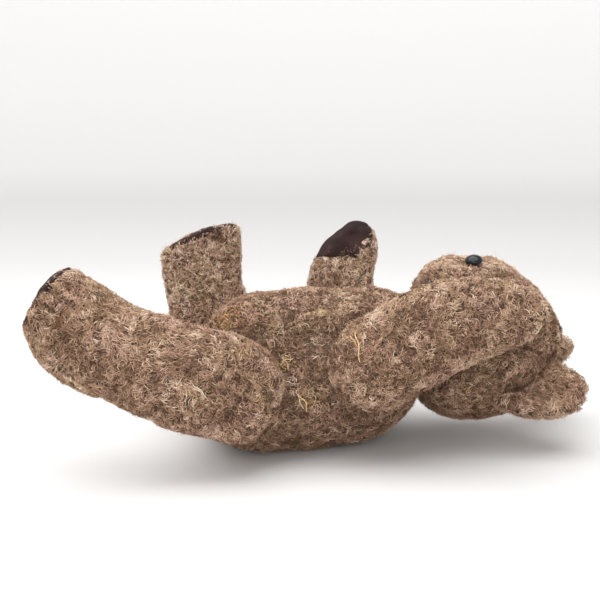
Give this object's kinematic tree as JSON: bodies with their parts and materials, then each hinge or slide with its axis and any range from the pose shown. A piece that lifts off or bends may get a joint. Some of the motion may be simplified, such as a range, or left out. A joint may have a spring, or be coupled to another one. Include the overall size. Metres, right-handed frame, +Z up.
{
  "type": "threadbare teddy bear",
  "caption": "Old jointed plush bear lying on its back, worn curly fur, leather paw pads, glass eyes, turning head, arms and legs",
  "frame": {"origin": "on the flat underside of the torso, where the bear lies on its back", "axes": "+X runs from the seat to the crown of the head, +Z is up, out of the belly and chest, +Y is the side of the right arm"},
  "size_m": [0.4368, 0.2383, 0.1688],
  "materials": {
    "worn_plush": "matted curly pile, grey brown, worn thin on the edges",
    "bare_plush": "thin curly pile with the backing showing",
    "wood_wool": "packed straw-coloured stuffing",
    "worn_leather": "smooth dark brown, dull with age",
    "hardboard": "pressed brown board",
    "dull_steel": "dull grey with light rust",
    "black_glass": "glossy black",
    "black_thread": "twisted cotton"
  },
  "bodies": {
    "torso": {"hip_left_inner_disc": "hardboard", "hip_left_inner_washer": "dull_steel", "hip_right_inner_disc": "hardboard", "hip_right_inner_washer": "dull_steel", "neck_inner_disc": "hardboard", "neck_inner_washer": "dull_steel", "shoulder_left_inner_disc": "hardboard", "shoulder_left_inner_washer": "dull_steel", "shoulder_right_inner_disc": "hardboard", "shoulder_right_inner_washer": "dull_steel", "torso_cover": "worn_plush", "torso_stuffing": "wood_wool"},
    "head": {"ear_left": "bare_plush", "ear_right": "bare_plush", "eye_left": "black_glass", "eye_right": "black_glass", "eye_shank_left": "dull_steel", "eye_shank_right": "dull_steel", "head_cover": "worn_plush", "head_stuffing": "wood_wool", "lip_thread": "black_thread", "mouth_thread": "black_thread", "neck_outer_disc": "hardboard", "neck_outer_washer": "dull_steel", "neck_split_pin": "dull_steel", "nose": "black_thread"},
    "left_arm": {"arm_left_cover": "worn_plush", "arm_left_stuffing": "wood_wool", "paw_pad_left": "worn_leather", "shoulder_left_outer_disc": "hardboard", "shoulder_left_outer_washer": "dull_steel", "shoulder_left_split_pin": "dull_steel"},
    "right_arm": {"arm_right_cover": "worn_plush", "arm_right_stuffing": "wood_wool", "paw_pad_right": "worn_leather", "shoulder_right_outer_disc": "hardboard", "shoulder_right_outer_washer": "dull_steel", "shoulder_right_split_pin": "dull_steel"},
    "left_leg": {"foot_pad_left": "worn_leather", "hip_left_outer_disc": "hardboard", "hip_left_outer_washer": "dull_steel", "hip_left_split_pin": "dull_steel", "leg_left_cover": "worn_plush", "leg_left_stuffing": "wood_wool"},
    "right_leg": {"foot_pad_right": "worn_leather", "hip_right_outer_disc": "hardboard", "hip_right_outer_washer": "dull_steel", "hip_right_split_pin": "dull_steel", "leg_right_cover": "worn_plush", "leg_right_stuffing": "wood_wool"}
  },
  "joints": [
    {"name": "neck", "type": "hinge", "parent": "torso", "child": "head", "pos_m": [0.09025, 0.00395, 0.07759], "axis": [1, 0, 0], "range_deg": [-100, 0]},
    {"name": "left_shoulder", "type": "hinge", "parent": "torso", "child": "left_arm", "pos_m": [0.044, -0.06264, 0.07334], "axis": [0, -0.9781, 0.2079], "range_deg": [-42, 73]},
    {"name": "right_shoulder", "type": "hinge", "parent": "torso", "child": "right_arm", "pos_m": [0.044, 0.06305, 0.04662], "axis": [0, -0.9781, 0.2079], "range_deg": [-107, 8]},
    {"name": "left_hip", "type": "hinge", "parent": "torso", "child": "left_leg", "pos_m": [-0.054, -0.06555, 0.05964], "axis": [0, -0.9781, 0.2079], "range_deg": [-61, 37]},
    {"name": "right_hip", "type": "hinge", "parent": "torso", "child": "right_leg", "pos_m": [-0.054, 0.06014, 0.03293], "axis": [0, -0.9781, 0.2079], "range_deg": [-4, 94]}
  ]
}
